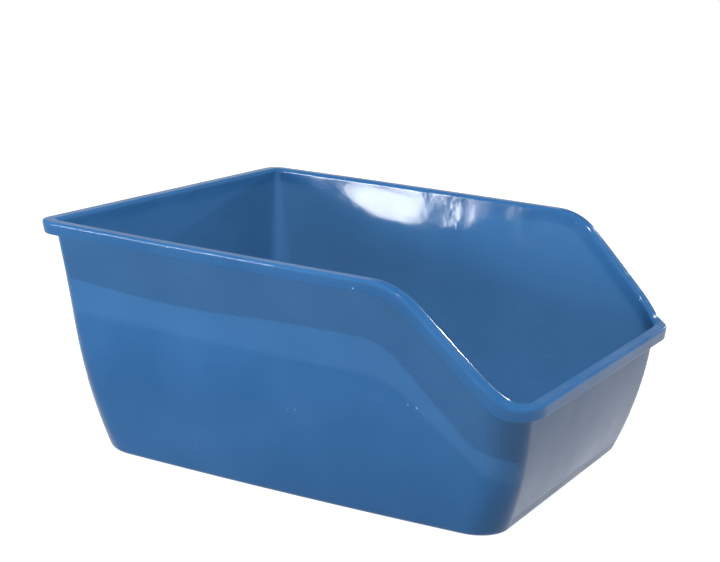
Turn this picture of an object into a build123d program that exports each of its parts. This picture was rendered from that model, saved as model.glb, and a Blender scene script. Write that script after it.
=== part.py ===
"""High-sided open litter pan, one injection moulding in polypropylene.

+Z is up, the low entry faces -Y, and the origin is at the centre of the bounding box on the resting plane.
All sizes are in millimetres.
"""

import os

from build123d import *

os.makedirs("parts", exist_ok=True)

# Overall size over the rim; the long sides bow outwards a little
LENGTH = 540.0
WIDTH = 462.0
HEIGHT = 243.0
FRONT_HEIGHT = 142.0
SIDE_BOW = 5.5

# Side view of the rim: level at the back, a straight slope, then the low level entry
SLOPE_TOP_Y = -141.0
SLOPE_FOOT_Y = -251.0
TOP_KNEE_RADIUS = 71.0
FOOT_KNEE_RADIUS = 22.0

# Rim: a flat flange that turns down into a skirt, standing clear of the wall
RIM_OVERHANG = 12.8
RIM_THICKNESS = 2.2
SKIRT_DEPTH = 13.0
RIM_EDGE_ROUND = 3.0
LIP_ROUND = 3.2

# Walls: straight draft above, curling inwards below down to a rounded foot, which is narrower at the entry
WALL = 2.2
FLOOR = 2.4
CURL_HEIGHT = 120.0
SIDE_DRAFT = 0.115
SIDE_FOOT_SLOPE = 0.28
FRONT_DRAFT = 0.052
FRONT_FOOT_SLOPE = 0.387
FOOT_ROUND = 4.5
FOOT_TAPER = 8.5

# Corner radii of the wall in plan, at the foot and at full height
FRONT_FOOT_CORNER = 32.0
FRONT_TOP_CORNER = 38.0
BACK_FOOT_CORNER = 40.0
BACK_TOP_CORNER = 7.5

# Floor panel: raised off the resting plane, so that the pan stands on a ring
PANEL_INSET = 34.0
PANEL_RISE = 2.0
PANEL_CORNER = 22.0
PANEL_SLOPE = 45.0
GATE_RADIUS = 6.0
GATE_DEPTH = 0.6

# Construction: how far tools reach past the pan, and how finely the curl is lofted
SPARE = 25.0
CURL_SECTIONS = 5


def inset(z, top, draft, foot_slope):
    """How far a wall stands inside its place at height `top`, at height z."""
    below = max(0.0, CURL_HEIGHT - z)
    return draft * (top - z) + (foot_slope - draft) * below**2 / (2 * CURL_HEIGHT)


def wall_outline(z, grow):
    """The wall's outer outline at height z, grown outwards by `grow`, on its own plane."""
    side = inset(z, HEIGHT - RIM_EDGE_ROUND, SIDE_DRAFT, SIDE_FOOT_SLOPE)
    front = inset(z, FRONT_HEIGHT - RIM_EDGE_ROUND, FRONT_DRAFT, FRONT_FOOT_SLOPE)
    x = WIDTH / 2 - SIDE_BOW - RIM_OVERHANG - side + grow
    back_y = LENGTH / 2 - RIM_OVERHANG - side + grow
    front_y = -LENGTH / 2 + RIM_OVERHANG + front - grow
    middle = (back_y + front_y) / 2
    up = z / HEIGHT
    front_x = x - FOOT_TAPER * (1 - up)
    back_x = x + FOOT_TAPER * (1 - up)
    front_corner = FRONT_FOOT_CORNER + (FRONT_TOP_CORNER - FRONT_FOOT_CORNER) * up + grow
    back_corner = BACK_FOOT_CORNER + (BACK_TOP_CORNER - BACK_FOOT_CORNER) * up + grow
    with BuildSketch(Plane.XY.offset(z)) as outline:
        with BuildLine():
            Line((-front_x, front_y), (front_x, front_y))
            ThreePointArc((front_x, front_y), (x + SIDE_BOW, middle), (back_x, back_y))
            Line((back_x, back_y), (-back_x, back_y))
            ThreePointArc((-back_x, back_y), (-x - SIDE_BOW, middle), (-front_x, front_y))
        make_face()
        fillet(outline.vertices().sort_by(Axis.Y)[:2], front_corner)
        fillet(outline.vertices().sort_by(Axis.Y)[-2:], back_corner)
    return outline.sketch


def upper_tub(grow):
    """A solid with the wall's straight upper shape, grown by `grow`, from the curl to above the rim."""
    with BuildPart() as upper:
        add(wall_outline(CURL_HEIGHT, grow))
        add(wall_outline(HEIGHT + SPARE, grow))
        loft(ruled=True)
    return upper.part


def lower_tub(bottom, grow, foot_round):
    """A solid with the wall's curled lower shape, grown by `grow`, from height `bottom` up to the curl's top."""
    with BuildPart() as lower:
        for step in range(CURL_SECTIONS):
            add(wall_outline(bottom + (CURL_HEIGHT - bottom) * step / (CURL_SECTIONS - 1), grow))
        loft()
        fillet(lower.faces().sort_by(Axis.Z)[0].edges(), foot_round)
    return lower.part


def below_rim_line(drop):
    """Everything below the rim's line in side view, lowered by `drop` square to the line."""
    reach = LENGTH / 2 + SPARE
    with BuildPart() as block:
        with BuildSketch(Plane.YZ):
            with BuildLine():
                FilletPolyline(
                    (reach, HEIGHT),
                    (SLOPE_TOP_Y, HEIGHT),
                    (SLOPE_FOOT_Y, FRONT_HEIGHT),
                    (-reach, FRONT_HEIGHT),
                    radius=[TOP_KNEE_RADIUS, FOOT_KNEE_RADIUS],
                )
                Polyline((-reach, FRONT_HEIGHT), (-reach, -SPARE), (reach, -SPARE), (reach, HEIGHT))
            make_face()
            if drop > 0:
                offset(amount=-drop, kind=Kind.INTERSECTION)
        extrude(amount=WIDTH, both=True)
    return block.part


def floor_panel(shrink):
    """The raised panel's form, standing on the resting plane, `shrink` smaller all round."""
    foot = wall_outline(0, 0).bounding_box()
    margin = 2 * (PANEL_INSET + shrink)
    with BuildPart() as panel:
        with BuildSketch():
            with Locations((0, foot.center().Y)):
                RectangleRounded(foot.size.X - margin, foot.size.Y - margin, PANEL_CORNER)
        extrude(amount=PANEL_RISE, taper=PANEL_SLOPE)
    return panel.part


def rim_borders(faces):
    """The border edges of the rim's upward faces on the +X side, without the edges that two of them share."""
    upward = faces.filter_by(lambda face: face.normal_at(face.center()).Z > 0.5)
    edges = [edge for face in upward for edge in face.edges() if edge.center().Z > FRONT_HEIGHT - 1]
    borders = [edge for edge in edges if sum(edge.is_same(other) for other in edges) == 1]
    return [edge for edge in borders if edge.center().X > 1]


# Half of the rim: a collar round the wall's top, rounded outside
with BuildPart() as half_rim:
    add(upper_tub(RIM_OVERHANG))
    add(below_rim_line(0), mode=Mode.INTERSECT)
    add(below_rim_line(SKIRT_DEPTH), mode=Mode.SUBTRACT)
    split(bisect_by=Plane.YZ)
    fillet(rim_borders(half_rim.faces()), RIM_EDGE_ROUND)

# The hollow between the skirt and the wall
with BuildPart() as skirt_hollow:
    add(upper_tub(RIM_OVERHANG - RIM_THICKNESS))
    add(below_rim_line(RIM_THICKNESS), mode=Mode.INTERSECT)
    add(upper_tub(0), mode=Mode.SUBTRACT)

# The room inside, with the floor panel's upper side standing up into it
with BuildPart() as room:
    add(lower_tub(FLOOR, -WALL, FOOT_ROUND - WALL))
    add(upper_tub(-WALL))
    with Locations((0, 0, FLOOR)):
        add(floor_panel(FLOOR / 2), mode=Mode.SUBTRACT)

# Half of the moulding, its lip rounded on the inside
lip_side = upper_tub(-WALL / 2)
with BuildPart() as half_pan:
    add(lower_tub(0, 0, FOOT_ROUND))
    add(upper_tub(0))
    add(below_rim_line(0), mode=Mode.INTERSECT)
    add(half_rim.part)
    add(skirt_hollow.part, mode=Mode.SUBTRACT)
    add(room.part, mode=Mode.SUBTRACT)
    add(floor_panel(0), mode=Mode.SUBTRACT)
    with Locations((0, 0, PANEL_RISE)):
        Cylinder(GATE_RADIUS, 2 * GATE_DEPTH, mode=Mode.SUBTRACT)
    split(bisect_by=Plane.YZ)
    lip = [edge for edge in rim_borders(half_pan.faces()) if lip_side.is_inside(edge.center())]
    fillet(lip, LIP_ROUND)

with BuildPart() as litter_pan:
    add(half_pan.part)
    mirror(about=Plane.YZ)
litter_pan.part.label = "litter_pan"
export_step(litter_pan.part, "parts/litter_pan.step")
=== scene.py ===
"""A high-sided open litter pan in glossy blue plastic, on a plain pale floor.

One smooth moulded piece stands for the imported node. Its surface is a grid: stations go round the pan in
plan, and rows go along the wall's section, from the floor inside, over the rim, to the underside.
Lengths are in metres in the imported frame: +Z up, the low entry towards -Y.
"""

import math

import bmesh
import bpy
import numpy as np
from mathutils import Matrix, Vector


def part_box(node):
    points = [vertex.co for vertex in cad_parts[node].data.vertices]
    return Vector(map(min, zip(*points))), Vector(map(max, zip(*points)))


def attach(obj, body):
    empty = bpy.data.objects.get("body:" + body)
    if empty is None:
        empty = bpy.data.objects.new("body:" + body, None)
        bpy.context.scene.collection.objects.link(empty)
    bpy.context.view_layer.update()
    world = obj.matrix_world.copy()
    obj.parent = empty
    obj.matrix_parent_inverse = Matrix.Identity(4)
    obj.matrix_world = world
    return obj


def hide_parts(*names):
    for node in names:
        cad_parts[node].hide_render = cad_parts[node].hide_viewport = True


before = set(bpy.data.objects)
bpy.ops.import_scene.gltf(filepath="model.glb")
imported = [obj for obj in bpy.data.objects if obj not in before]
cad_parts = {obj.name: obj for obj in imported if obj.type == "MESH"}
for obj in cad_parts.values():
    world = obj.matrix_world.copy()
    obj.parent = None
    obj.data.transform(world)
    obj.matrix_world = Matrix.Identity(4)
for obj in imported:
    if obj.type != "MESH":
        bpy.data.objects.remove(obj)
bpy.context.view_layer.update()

MM = 0.001
PAN = "litter_pan"
LOW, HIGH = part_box(PAN)
HALF_LENGTH = (HIGH.y - LOW.y) / 2
HALF_WIDTH = (HIGH.x - LOW.x) / 2
HEIGHT = HIGH.z

# Side view of the rim: level at the back, a straight slope, then the low level entry
FRONT_HEIGHT = 142 * MM
SLOPE_TOP_Y = -141 * MM
SLOPE_FOOT_Y = -251 * MM
TOP_KNEE_RADIUS = 71 * MM
FOOT_KNEE_RADIUS = 22 * MM

# Rim section: a flange and a down-turned skirt clear of the wall
OVERHANG = 12.8 * MM
SKIRT = 13 * MM
RIM_THICKNESS = 2.2 * MM
EDGE_ROUND = 3 * MM
LIP_ROUND = 3.2 * MM
SKIRT_ROUND = 0.7 * MM
INNER_ROUND = 1.2 * MM

# Walls: straight draft above the curl, curling inwards below it to a rounded foot, narrower at the entry.
# Each pair of corner radii is at the foot and at the rim's height.
WALL = 2.2 * MM
FLOOR = 2.4 * MM
BOW = 5.5 * MM
CURL_HEIGHT = 120 * MM
SIDE_DRAFT, SIDE_FOOT_SLOPE = 0.115, 0.28
FRONT_DRAFT, FRONT_FOOT_SLOPE = 0.052, 0.387
FOOT_ROUND = 4.5 * MM
FOOT_TAPER = 8.5 * MM
FRONT_CORNERS = (32 * MM, 38 * MM)
BACK_CORNERS = (40 * MM, 7.5 * MM)

# Moulding warp: the upper half of the long walls stands a little inwards, towards the back
WARP = 3.2 * MM
WARP_FOOT = 120 * MM
WARP_Y = 110 * MM
WARP_LENGTH = 120 * MM

# Margins between neighbouring rings: inside the floor's edge, under the lip and inside the foot's round
FLOOR_MARGIN = 3 * MM
LIP_MARGIN = 1 * MM
FOOT_MARGIN = 2 * MM

# Floor panel: raised off the floor that the pan stands on
PANEL_INSET = 34 * MM
PANEL_RISE = 2 * MM
PANEL_CORNER = 22 * MM
# How far up the panel's sloping edge each ring is: 0 at the flat round it, 1 at the panel
PANEL_EDGE_FALLS = (2.6, 1.4, 1.0, 0.85, 0.5, 0.15, 0.0, -0.4)

# Gate mark under the floor: a round recess with a broken-off nub.
# Each ring is a radius and a share of the depth.
GATE_RADIUS = 6 * MM
GATE_DEPTH = 0.6 * MM
GATE_NUB = 1.6 * MM
GATE_STATIONS = 48
GATE_PROFILE = (
    (1.5 * GATE_RADIUS, 0.0),
    (1.05 * GATE_RADIUS, 0.0),
    (0.98 * GATE_RADIUS, 0.5),
    (0.90 * GATE_RADIUS, 1.0),
    (1.15 * GATE_NUB, 1.0),
    (GATE_NUB, 0.5),
    (0.85 * GATE_NUB, 0.2),
)

# Grid: stations on each long side, at each corner, and on the front and back
SIDE_STATIONS = 170
FRONT_CORNER_STATIONS = 22
BACK_CORNER_STATIONS = 12
END_STATIONS = 64
# More stations at the rim's knees: how much denser, where along the side, and over what share of it
KNEE_SPREADS = ((5.0, 0.05, 0.06), (1.2, 0.24, 0.09))
SPREAD_SAMPLES = 2001

# Grid rows down the walls, round the larger and smaller rounds, and across the flat strips between them
WALL_ROWS = 32
WALL_ROW_MARGIN = 0.025
LARGE_STEPS = 8
LIP_STEPS = 6
SMALL_STEPS = 4
STRIP_SHARES = (0.08, 0.35, 0.65, 0.92)
SKIRT_INSIDE_SHARES = (0.1, 0.5, 0.9)
RIM_PASSES = 8

# Plastic: two close blues in soft clouds, and a paler light that comes through the wall
DEEP_BLUE = (0.009, 0.056, 0.148)
CLEAR_BLUE = (0.014, 0.067, 0.170)
CLOUD_RANGE = (0.35, 0.65)
GLOW_BLUE = (0.48, 0.66, 0.82)
GLOW_SHARE = 0.20

# Gloss: how rough, and how wavy the surface is
PLASTIC_IOR = 1.49
GLOSS_LEVEL = 0.155
ROUGHNESS = (0.05, 0.12)
HAZE_RANGE = (0.3, 0.7)
BROAD_WAVE = 1.2 * MM
FINE_WAVE = 0.14 * MM

# Noises: cells per metre, detail, roughness and, for one, distortion
CLOUD_NOISE = (9.0, 3.0, 0.55)
WORN_NOISE = (4.0, 2.0, 0.5)
HAZE_NOISE = (22.0, 4.0, 0.6)
BROAD_NOISE = (14.0, 1.0, 0.4)
FINE_NOISE = (60.0, 2.0, 0.5, 0.4)
SCRATCH_NOISE = (1.0, 1.0, 0.5)

# Wear: fine upright and level scratches in worn patches, and a few pale specks
DUST_COLOUR = (0.34, 0.45, 0.56)
UPRIGHT_STRETCH = (3.0, 70.0, 2.5)
LEVEL_STRETCH = (3.0, 4.0, 80.0)
NOISE_MIDDLE = 0.5
SCRATCH_DEPTH = 0.05 * MM
SCRATCH_WIDTH = 0.010
SCRATCH_PALENESS = 0.06
SCRATCH_ROUGHNESS = 0.15
WORN_RANGE = (0.56, 0.75)
SPECK_CELLS = 70.0
SPECK_SIZE = (0.03, 0.07)
SPECK_RARITY = 0.86
SPECK_PALENESS = 0.6

# Floor: just below the pan's foot
FLOOR_GAP = 0.2 * MM
FLOOR_RADIUS = 40.0
FLOOR_SEGMENTS = 96
FLOOR_COLOUR = (0.15, 0.15, 0.15)
FLOOR_GLOW = 0.98

# Room: bright walls that fade upwards into a dim ceiling; the fade ends at this upward part of the direction
WALL_LIGHT = 1.15
CEILING_LIGHT = 0.10
WALL_TOP = 0.45

# Lamps: position, target, width and height in metres, then power in watts
HIGH_LAMP = ((-1.3, -0.97, 2.9), (-0.2, 0, 0.15), (0.03, 0.03), 260.0)
LOW_LAMP = ((4.2, -0.26, 1.13), (-0.1, 0, 0.2), (0.022, 0.022), 290.0)
WINDOW = ((-1.9, 1.36, 0.50), (0.22, 0.12, 0.21), (0.70, 0.36), 70.0)

# Camera: azimuth, elevation and roll in degrees, distances in pan lengths, lens and sensor in millimetres
CAMERA_ANGLES = (-61.5813, 13.6155, 3.0584)
CAMERA_DISTANCE = 3.1466
CAMERA_TARGET_HEIGHT = 0.2
CAMERA_ASIDE = (-0.0188, 0.1308)
CAMERA_LENS = 79.549
SENSOR_WIDTH = 36
CAMERA_REACH = 4 * FLOOR_RADIUS


def spread_along_side(count):
    """Fractions along a long side, front to back, closer together at the rim's two knees."""
    fine = np.linspace(0, 1, SPREAD_SAMPLES)
    density = np.ones(SPREAD_SAMPLES)
    for extra, place, width in KNEE_SPREADS:
        density += extra * np.exp(-(((fine - place) / width) ** 2))
    run = np.concatenate([[0], np.cumsum((density[1:] + density[:-1]) / 2)])
    return np.interp(np.linspace(0, run[-1], count + 1), run, fine)


def stations():
    """For each station, how its place depends on the outline's half width, ends and corner radii.

    A row holds: half width into x; front and back corner radius into x; front and back end into y;
    front and back corner radius into y. The loop goes anticlockwise from the front of the +X side.
    """
    corners = []
    for sx, sy, first in ((1, -1, -90), (1, 1, 0), (-1, 1, 90), (-1, -1, 180)):
        at_back = int(sy > 0)
        steps = BACK_CORNER_STATIONS if at_back else FRONT_CORNER_STATIONS
        angles = np.radians(np.linspace(first, first + 90, steps + 1))
        rows = np.zeros((len(angles), 7))
        rows[:, 0] = sx
        rows[:, 1 + at_back] = np.cos(angles) - sx
        rows[:, 3 + at_back] = 1
        rows[:, 5 + at_back] = np.sin(angles) - sy
        corners.append(rows)
    side = spread_along_side(SIDE_STATIONS)
    end = np.linspace(0, 1, END_STATIONS + 1)
    spreads = (side, end, 1 - side[::-1], end)
    rows = []
    for i, fractions in enumerate(spreads):
        rows.append(corners[i])
        start, stop = corners[i][-1], corners[(i + 1) % 4][0]
        rows.append(start + (stop - start) * fractions[1:-1, None])
    return np.vstack(rows)


STATIONS = stations()


def rim_line(y, drop):
    """Height of the rim's line in side view at y, lowered by `drop` square to the line."""
    angle = math.atan2(HEIGHT - FRONT_HEIGHT, SLOPE_TOP_Y - SLOPE_FOOT_Y)
    shift = drop * math.tan(angle / 2)
    high, low = HEIGHT - drop, FRONT_HEIGHT - drop
    top_y, foot_y = SLOPE_TOP_Y + shift, SLOPE_FOOT_Y + shift
    z = np.clip(low + math.tan(angle) * (y - foot_y), low, high)
    for radius, knee_y, level, side in (
        (TOP_KNEE_RADIUS - drop, top_y, high, 1),
        (FOOT_KNEE_RADIUS + drop, foot_y, low, -1),
    ):
        tangent = radius * math.tan(angle / 2)
        centre = knee_y + side * tangent
        near = (side * (centre - y) > 0) & (side * (centre - y) < tangent * (1 + math.cos(angle)))
        arc = np.sqrt(np.maximum(radius**2 - (y - centre) ** 2, 0))
        z = np.where(near, level - side * (radius - arc), z)
    return z


def inset(z, top, draft, foot_slope):
    """How far a wall stands inside its place at height `top`, at height z."""
    below = np.maximum(0, CURL_HEIGHT - z)
    return draft * (top - z) + (foot_slope - draft) * below**2 / (2 * CURL_HEIGHT)


def ring(half, front, back, front_corner, back_corner, z):
    """A loop of points on a rounded rectangle; every value may be a number or one per station."""
    k = STATIONS.T
    x = k[0] * half + k[1] * front_corner + k[2] * back_corner
    y = k[3] * front + k[4] * back + k[5] * front_corner + k[6] * back_corner
    return np.stack([x, y, np.broadcast_to(z, x.shape)], 1)


def wall_ring(z, grow):
    """The wall's outer outline at height z, grown outwards by `grow`."""
    side = inset(z, HEIGHT - EDGE_ROUND, SIDE_DRAFT, SIDE_FOOT_SLOPE)
    front = inset(z, FRONT_HEIGHT - EDGE_ROUND, FRONT_DRAFT, FRONT_FOOT_SLOPE)
    half = HALF_WIDTH - BOW - OVERHANG - side + grow
    back_y = HALF_LENGTH - OVERHANG - side + grow
    front_y = -HALF_LENGTH + OVERHANG + front - grow
    up = z / HEIGHT
    front_corner = FRONT_CORNERS[0] + (FRONT_CORNERS[1] - FRONT_CORNERS[0]) * up + grow
    back_corner = BACK_CORNERS[0] + (BACK_CORNERS[1] - BACK_CORNERS[0]) * up + grow
    points = ring(half, front_y, back_y, front_corner, back_corner, z)
    middle, reach = (back_y + front_y) / 2, (back_y - front_y) / 2
    along = (points[:, 1] - middle) / reach
    share = points[:, 0] / half
    points[:, 0] += share * (BOW * (1 - along**2) + FOOT_TAPER * (1 - up) * along)
    lift = np.clip((z - WARP_FOOT) / (HEIGHT - WARP_FOOT), 0, 1)
    reach_in = np.exp(-(((points[:, 1] - WARP_Y) / WARP_LENGTH) ** 2))
    points[:, 0] -= share * WARP * np.sin(math.pi * lift) ** 2 * reach_in
    return points


def rim_ring(grow, drop):
    """A loop on the rim's section: `grow` outwards from the wall's outside, `drop` below the rim's top."""
    z = np.full(len(STATIONS), HEIGHT)
    for _ in range(RIM_PASSES):
        points = wall_ring(z, grow)
        z = rim_line(points[:, 1], drop)
    return wall_ring(z, grow)


def arc_steps(count):
    """Angles of a quarter turn, both ends included."""
    return np.linspace(0, math.pi / 2, count + 1)


def panel_rings(z_floor, z_panel, shrink):
    """Rings from just inside the floor panel's edge, down its sloping edge, to just outside its foot."""
    foot = wall_ring(0.0, 0.0)
    half = foot[:, 0].max() - PANEL_INSET - shrink
    front = foot[:, 1].min() + PANEL_INSET + shrink
    back = foot[:, 1].max() - PANEL_INSET - shrink
    middle, reach = (front + back) / 2, (back - front) / 2
    rise = z_panel - z_floor
    rings = []
    for fall in PANEL_EDGE_FALLS:
        inwards = fall * rise
        share = min(max(fall, 0), 1)
        z = z_floor + rise * share * share * (3 - 2 * share)
        corner = PANEL_CORNER - inwards
        ends = (middle - reach + inwards, middle + reach - inwards)
        rings.append(ring(half - inwards, *ends, corner, corner, z))
    return rings


def gate_rings(z_panel):
    """The gate mark in the middle of the underside, from the edge of its recess to the broken-off nub."""
    turn = np.linspace(0, 2 * math.pi, GATE_STATIONS + 1)[:-1]
    circle = np.stack([np.cos(turn), np.sin(turn), 0 * turn], 1)
    rings = []
    for radius, depth in GATE_PROFILE:
        rings.append(circle * radius + [0, 0, z_panel + depth * GATE_DEPTH])
    return rings


def wall_rows(top, bottom_z, grow):
    """Rings down a wall from the ring `top` to the height `bottom_z`, closer together at both ends."""
    rings = []
    for share in (1 - np.cos(np.linspace(0, math.pi, WALL_ROWS + 2)[1:-1])) / 2:
        blend = WALL_ROW_MARGIN + (1 - 2 * WALL_ROW_MARGIN) * share
        rings.append(wall_ring(top[:, 2] + (bottom_z - top[:, 2]) * blend, grow))
    return rings


def pan_rings():
    """All full rings of the pan, from the floor panel inside, over the rim, to the panel's underside."""
    inside = -WALL
    inner_foot = FOOT_ROUND - WALL
    rings = panel_rings(FLOOR, FLOOR + PANEL_RISE, FLOOR / 2)
    rings.append(wall_ring(0.0, inside - inner_foot - FLOOR_MARGIN) + [0, 0, FLOOR])
    for angle in arc_steps(LIP_STEPS)[::-1]:
        z = FLOOR + inner_foot * (1 - math.sin(angle))
        rings.append(wall_ring(z, inside - inner_foot * (1 - math.cos(angle))))
    lip = rim_ring(inside, LIP_ROUND + LIP_MARGIN)
    rings += wall_rows(lip, FLOOR + inner_foot, inside)[::-1]
    rings.append(lip)
    for angle in arc_steps(LIP_STEPS):
        rings.append(rim_ring(inside + LIP_ROUND * (1 - math.cos(angle)), LIP_ROUND * (1 - math.sin(angle))))
    flat = OVERHANG - EDGE_ROUND - (inside + LIP_ROUND)
    for share in STRIP_SHARES:
        rings.append(rim_ring(inside + LIP_ROUND + flat * share, 0.0))
    for angle in arc_steps(LARGE_STEPS):
        out = OVERHANG - EDGE_ROUND * (1 - math.sin(angle))
        rings.append(rim_ring(out, EDGE_ROUND * (1 - math.cos(angle))))
    for share in STRIP_SHARES:
        rings.append(rim_ring(OVERHANG, EDGE_ROUND + (SKIRT - SKIRT_ROUND - EDGE_ROUND) * share))
    for angle in arc_steps(SMALL_STEPS):
        out = OVERHANG - SKIRT_ROUND * (1 - math.cos(angle))
        rings.append(rim_ring(out, SKIRT - SKIRT_ROUND * (1 - math.sin(angle))))
    skirt_inside = OVERHANG - RIM_THICKNESS
    for angle in arc_steps(SMALL_STEPS)[::-1]:
        out = skirt_inside + SKIRT_ROUND * (1 - math.cos(angle))
        rings.append(rim_ring(out, SKIRT - SKIRT_ROUND * (1 - math.sin(angle))))
    for share in SKIRT_INSIDE_SHARES:
        rings.append(rim_ring(skirt_inside, SKIRT + (RIM_THICKNESS + INNER_ROUND - SKIRT) * share))
    for angle in arc_steps(SMALL_STEPS):
        out = skirt_inside - INNER_ROUND * (1 - math.cos(angle))
        rings.append(rim_ring(out, RIM_THICKNESS + INNER_ROUND * (1 - math.sin(angle))))
    rings.append(rim_ring(skirt_inside / 2, RIM_THICKNESS))
    for angle in arc_steps(SMALL_STEPS)[::-1]:
        out = INNER_ROUND * (1 - math.cos(angle))
        rings.append(rim_ring(out, RIM_THICKNESS + INNER_ROUND * (1 - math.sin(angle))))
    outer_top = rim_ring(0.0, RIM_THICKNESS + 2 * INNER_ROUND)
    rings.append(outer_top)
    rings += wall_rows(outer_top, FOOT_ROUND, 0.0)
    for angle in arc_steps(LARGE_STEPS):
        z = FOOT_ROUND * (1 - math.sin(angle))
        rings.append(wall_ring(z, -FOOT_ROUND * (1 - math.cos(angle))))
    rings.append(wall_ring(0.0, -FOOT_ROUND - FOOT_MARGIN))
    rings += panel_rings(0.0, PANEL_RISE, 0.0)[::-1]
    return rings


def add_band(shape, rings):
    """Adds a band of four-sided faces through closed rings of equal length; returns its two edge loops."""
    rows = [[shape.verts.new(point) for point in points] for points in rings]
    for upper, lower in zip(rows, rows[1:]):
        for i in range(len(upper)):
            shape.faces.new((upper[i - 1], lower[i - 1], lower[i], upper[i]))
    return [[shape.edges.get((row[i - 1], row[i])) for i in range(len(row))] for row in (rows[0], rows[-1])]


def pan_mesh(name):
    """One closed surface: the grid, the floor panel's top, and its underside with the gate mark."""
    shape = bmesh.new()
    panel_top, panel_under = add_band(shape, pan_rings())
    gate_rim, nub = add_band(shape, gate_rings(PANEL_RISE))
    for edges in (panel_top, nub, panel_under + gate_rim):
        bmesh.ops.triangle_fill(shape, use_beauty=True, edges=edges)
    bmesh.ops.recalc_face_normals(shape, faces=shape.faces)
    for face in shape.faces:
        face.smooth = True
    mesh = bpy.data.meshes.new(name)
    shape.to_mesh(mesh)
    shape.free()
    return mesh


def make_pan(material):
    """The moulded pan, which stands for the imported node."""
    pan = bpy.data.objects.new("pan_shell", pan_mesh("pan_shell"))
    bpy.context.scene.collection.objects.link(pan)
    pan.data.materials.append(material)
    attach(pan, "root")
    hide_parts(PAN)


def node(tree, kind, **settings):
    """A shader node with its properties set."""
    made = tree.nodes.new(kind)
    for key, value in settings.items():
        setattr(made, key, value)
    return made


def noise(tree, coordinates, scale, detail, roughness, distortion=0.0):
    """The value of a noise texture, 0 to 1."""
    texture = node(tree, "ShaderNodeTexNoise")
    texture.inputs["Scale"].default_value = scale
    texture.inputs["Detail"].default_value = detail
    texture.inputs["Roughness"].default_value = roughness
    texture.inputs["Distortion"].default_value = distortion
    tree.links.new(coordinates, texture.inputs["Vector"])
    return texture.outputs["Fac"]


def remap(tree, value, low, high, to_low, to_high):
    """Maps a value's range onto another, clamped and with soft ends."""
    mapped = node(tree, "ShaderNodeMapRange", interpolation_type="SMOOTHSTEP")
    for key, number in (("From Min", low), ("From Max", high), ("To Min", to_low), ("To Max", to_high)):
        mapped.inputs[key].default_value = number
    tree.links.new(value, mapped.inputs["Value"])
    return mapped.outputs["Result"]


def math_node(tree, operation, *values):
    """A maths node over sockets and numbers."""
    made = node(tree, "ShaderNodeMath", operation=operation)
    for i, value in enumerate(values):
        if isinstance(value, (int, float)):
            made.inputs[i].default_value = value
        else:
            tree.links.new(value, made.inputs[i])
    return made.outputs[0]


def scratches(tree, coordinates, stretch, worn):
    """Fine lines, 0 to 1: where a stretched noise crosses its middle value, in worn patches only."""
    mapping = node(tree, "ShaderNodeMapping")
    mapping.inputs["Scale"].default_value = stretch
    tree.links.new(coordinates, mapping.inputs["Vector"])
    field = noise(tree, mapping.outputs["Vector"], *SCRATCH_NOISE)
    away = math_node(tree, "ABSOLUTE", math_node(tree, "SUBTRACT", field, NOISE_MIDDLE))
    line = remap(tree, away, 0.0, SCRATCH_WIDTH, 1.0, 0.0)
    return math_node(tree, "MULTIPLY", line, remap(tree, worn, *WORN_RANGE, 0.0, 1.0))


def specks(tree, coordinates):
    """Small pale specks, 0 to 1: the middles of a few cells out of many."""
    cells = node(tree, "ShaderNodeTexVoronoi")
    cells.inputs["Scale"].default_value = SPECK_CELLS
    tree.links.new(coordinates, cells.inputs["Vector"])
    spot = remap(tree, cells.outputs["Distance"], *SPECK_SIZE, 1.0, 0.0)
    chance = node(tree, "ShaderNodeSeparateColor")
    tree.links.new(cells.outputs["Color"], chance.inputs["Color"])
    chosen = math_node(tree, "GREATER_THAN", chance.outputs["Red"], SPECK_RARITY)
    return math_node(tree, "MULTIPLY", math_node(tree, "MULTIPLY", spot, chosen), SPECK_PALENESS)


def bump(tree, height, distance, normal=None, invert=False):
    """The surface normal after a height adds its relief to the normal below it."""
    relief = node(tree, "ShaderNodeBump", invert=invert)
    relief.inputs["Distance"].default_value = distance
    tree.links.new(height, relief.inputs["Height"])
    if normal:
        tree.links.new(normal, relief.inputs["Normal"])
    return relief.outputs["Normal"]


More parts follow.
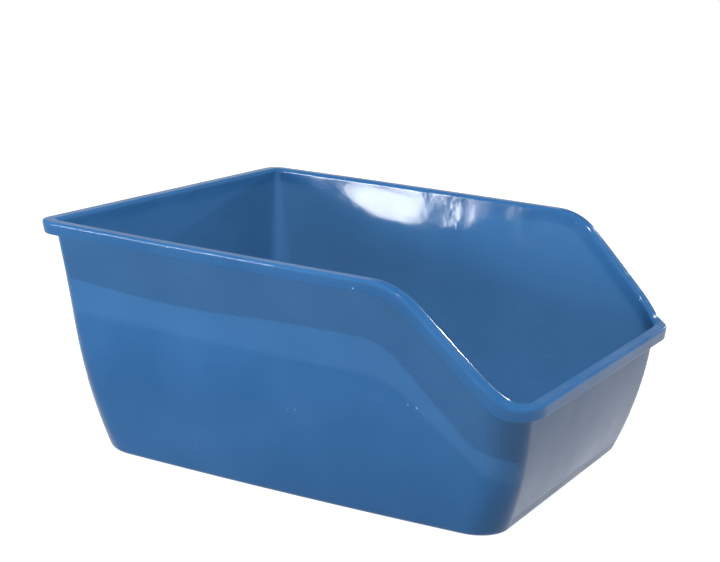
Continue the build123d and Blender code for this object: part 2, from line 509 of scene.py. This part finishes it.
def plastic_material():
    """Glossy blue polypropylene: slightly wavy, a little translucent, with faint scratches and dust."""
    material = bpy.data.materials.new("pan_plastic")
    material.use_nodes = True
    tree = material.node_tree
    tree.nodes.clear()
    output = node(tree, "ShaderNodeOutputMaterial")
    shader = node(tree, "ShaderNodeBsdfPrincipled")
    shader.inputs["IOR"].default_value = PLASTIC_IOR
    shader.inputs["Specular IOR Level"].default_value = GLOSS_LEVEL
    coordinates = node(tree, "ShaderNodeTexCoord").outputs["Object"]

    tint = node(tree, "ShaderNodeValToRGB")
    for stop, place, blue in zip(tint.color_ramp.elements, CLOUD_RANGE, (DEEP_BLUE, CLEAR_BLUE)):
        stop.position = place
        stop.color = (*blue, 1)
    tree.links.new(noise(tree, coordinates, *CLOUD_NOISE), tint.inputs["Fac"])

    worn = noise(tree, coordinates, *WORN_NOISE)
    upright = scratches(tree, coordinates, UPRIGHT_STRETCH, worn)
    level = scratches(tree, coordinates, LEVEL_STRETCH, worn)
    marks = math_node(tree, "MAXIMUM", upright, level)
    flecks = specks(tree, coordinates)
    pale = math_node(tree, "MAXIMUM", math_node(tree, "MULTIPLY", marks, SCRATCH_PALENESS), flecks)
    mixed = node(tree, "ShaderNodeMix", data_type="RGBA")
    mixed.inputs["B"].default_value = (*DUST_COLOUR, 1)
    tree.links.new(pale, mixed.inputs["Factor"])
    tree.links.new(tint.outputs["Color"], mixed.inputs["A"])
    tree.links.new(mixed.outputs["Result"], shader.inputs["Base Color"])

    haze = remap(tree, noise(tree, coordinates, *HAZE_NOISE), *HAZE_RANGE, *ROUGHNESS)
    dull = math_node(tree, "MULTIPLY", math_node(tree, "MAXIMUM", marks, flecks), SCRATCH_ROUGHNESS)
    tree.links.new(math_node(tree, "ADD", haze, dull), shader.inputs["Roughness"])

    wavy = bump(tree, noise(tree, coordinates, *BROAD_NOISE), BROAD_WAVE)
    grained = bump(tree, noise(tree, coordinates, *FINE_NOISE), FINE_WAVE, wavy)
    tree.links.new(bump(tree, marks, SCRATCH_DEPTH, grained, invert=True), shader.inputs["Normal"])

    glow = node(tree, "ShaderNodeBsdfTranslucent")
    glow.inputs["Color"].default_value = (*GLOW_BLUE, 1)
    blend = node(tree, "ShaderNodeMixShader")
    blend.inputs["Fac"].default_value = GLOW_SHARE
    tree.links.new(shader.outputs["BSDF"], blend.inputs[1])
    tree.links.new(glow.outputs["BSDF"], blend.inputs[2])
    tree.links.new(blend.outputs["Shader"], output.inputs["Surface"])
    return material


def make_floor():
    """A plain pale floor, wide enough to reach the horizon in every view."""
    shape = bmesh.new()
    bmesh.ops.create_circle(shape, cap_ends=True, segments=FLOOR_SEGMENTS, radius=FLOOR_RADIUS)
    mesh = bpy.data.meshes.new("studio_floor")
    shape.to_mesh(mesh)
    shape.free()
    floor = bpy.data.objects.new("studio_floor", mesh)
    floor.location.z = -FLOOR_GAP
    bpy.context.scene.collection.objects.link(floor)
    material = bpy.data.materials.new("pale_floor")
    material.use_nodes = True
    paint = material.node_tree.nodes["Principled BSDF"]
    paint.inputs["Base Color"].default_value = (*FLOOR_COLOUR, 1)
    paint.inputs["Roughness"].default_value = 1.0
    paint.inputs["Specular IOR Level"].default_value = 0.0
    paint.inputs["Emission Color"].default_value = (1, 1, 1, 1)
    paint.inputs["Emission Strength"].default_value = FLOOR_GLOW
    mesh.materials.append(material)


def area_light(name, position, target, size, power):
    """A rectangular light at a position, facing a target; size is its width and height."""
    lamp = bpy.data.lights.new(name, "AREA")
    lamp.shape = "RECTANGLE"
    lamp.size, lamp.size_y = size
    lamp.energy = power
    holder = bpy.data.objects.new(name, lamp)
    holder.location = position
    holder.rotation_mode = "QUATERNION"
    holder.visible_camera = False
    holder.rotation_quaternion = (Vector(target) - Vector(position)).to_track_quat("-Z", "Y")
    bpy.context.scene.collection.objects.link(holder)


def make_lights():
    """A bright room, a lamp high over the near side, one low on the far side, and a window by the back."""
    world = bpy.data.worlds.new("studio")
    world.use_nodes = True
    tree = world.node_tree
    room = tree.nodes["Background"]
    room.inputs["Color"].default_value = (1, 1, 1, 1)
    direction = node(tree, "ShaderNodeSeparateXYZ")
    tree.links.new(node(tree, "ShaderNodeTexCoord").outputs["Generated"], direction.inputs["Vector"])
    strength = remap(tree, direction.outputs["Z"], 0.0, WALL_TOP, WALL_LIGHT, CEILING_LIGHT)
    tree.links.new(strength, room.inputs["Strength"])
    bpy.context.scene.world = world
    area_light("high_lamp", *HIGH_LAMP)
    area_light("low_lamp", *LOW_LAMP)
    area_light("window", *WINDOW)


def make_camera():
    """The camera, from a fit to the object's outline: its distances are in pan lengths."""
    azimuth, elevation, roll = (math.radians(a) for a in CAMERA_ANGLES)
    flat = math.cos(elevation)
    back = Vector((math.sin(azimuth) * flat, -math.cos(azimuth) * flat, math.sin(elevation)))
    right = (-back).cross(Vector((0, 0, 1))).normalized()
    up = right.cross(-back)
    across = right * math.cos(roll) + up * math.sin(roll)
    upwards = up * math.cos(roll) - right * math.sin(roll)
    place = Vector((0, 0, CAMERA_TARGET_HEIGHT)) + back * CAMERA_DISTANCE
    place += across * CAMERA_ASIDE[0] + upwards * CAMERA_ASIDE[1]
    lens = bpy.data.cameras.new("camera")
    lens.sensor_width = SENSOR_WIDTH
    lens.lens = CAMERA_LENS
    lens.clip_end = CAMERA_REACH
    camera = bpy.data.objects.new("camera", lens)
    turn = Matrix((across, upwards, back)).transposed().to_4x4()
    camera.matrix_world = Matrix.Translation(place * 2 * HALF_LENGTH) @ turn
    bpy.context.scene.collection.objects.link(camera)
    bpy.context.scene.camera = camera


make_camera()
make_floor()
make_lights()
make_pan(plastic_material())
bpy.context.scene.view_settings.view_transform = "Standard"
